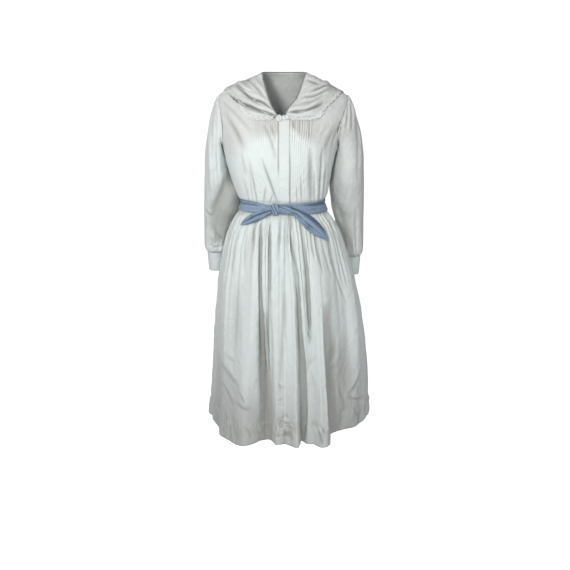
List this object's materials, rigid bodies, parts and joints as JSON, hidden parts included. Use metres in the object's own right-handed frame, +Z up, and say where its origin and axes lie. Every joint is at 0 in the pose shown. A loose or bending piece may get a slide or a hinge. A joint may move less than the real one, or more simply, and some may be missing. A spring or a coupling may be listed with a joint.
{
  "type": "shirtwaist dress",
  "caption": "Long-sleeved white cotton shirtwaist dress in its worn form: wide scalloped collar, V neck, pin tucks, plain cuffs, gathered skirt, and a tied blue belt.",
  "frame": {"origin": "midway between the two points where the neckline meets the shoulder seams, where the wearer's shoulders carry the dress", "axes": "+Z up, the front of the dress faces -Y, +X is the wearer's left"},
  "size_m": [0.5554, 0.489, 1.1355],
  "materials": {
    "bodice": "crisp white plain-weave cotton",
    "skirt": "crisp white plain-weave cotton",
    "sleeves": "crisp white plain-weave cotton",
    "collar": "white plain-weave cotton with an embroidered scalloped edge",
    "belt": "soft blue chambray",
    "cuff_button": "small white pearly button"
  },
  "bodies": {
    "root": {"bodice_front_right": "bodice", "bodice_front_left": "bodice", "bodice_back": "bodice", "bodice_placket": "bodice", "collar": "collar", "collar_tab": "collar", "collar_tab_end": "collar", "sleeve_right": "sleeves", "sleeve_left": "sleeves", "cuff_right": "sleeves", "cuff_left": "sleeves", "cuff_button_right": "cuff_button", "cuff_button_left": "cuff_button", "skirt_front_right": "skirt", "skirt_front_left": "skirt", "skirt_back": "skirt", "belt_band": "belt", "belt_knot": "belt", "belt_tail_right": "belt", "belt_tail_left": "belt"}
  },
  "joints": []
}
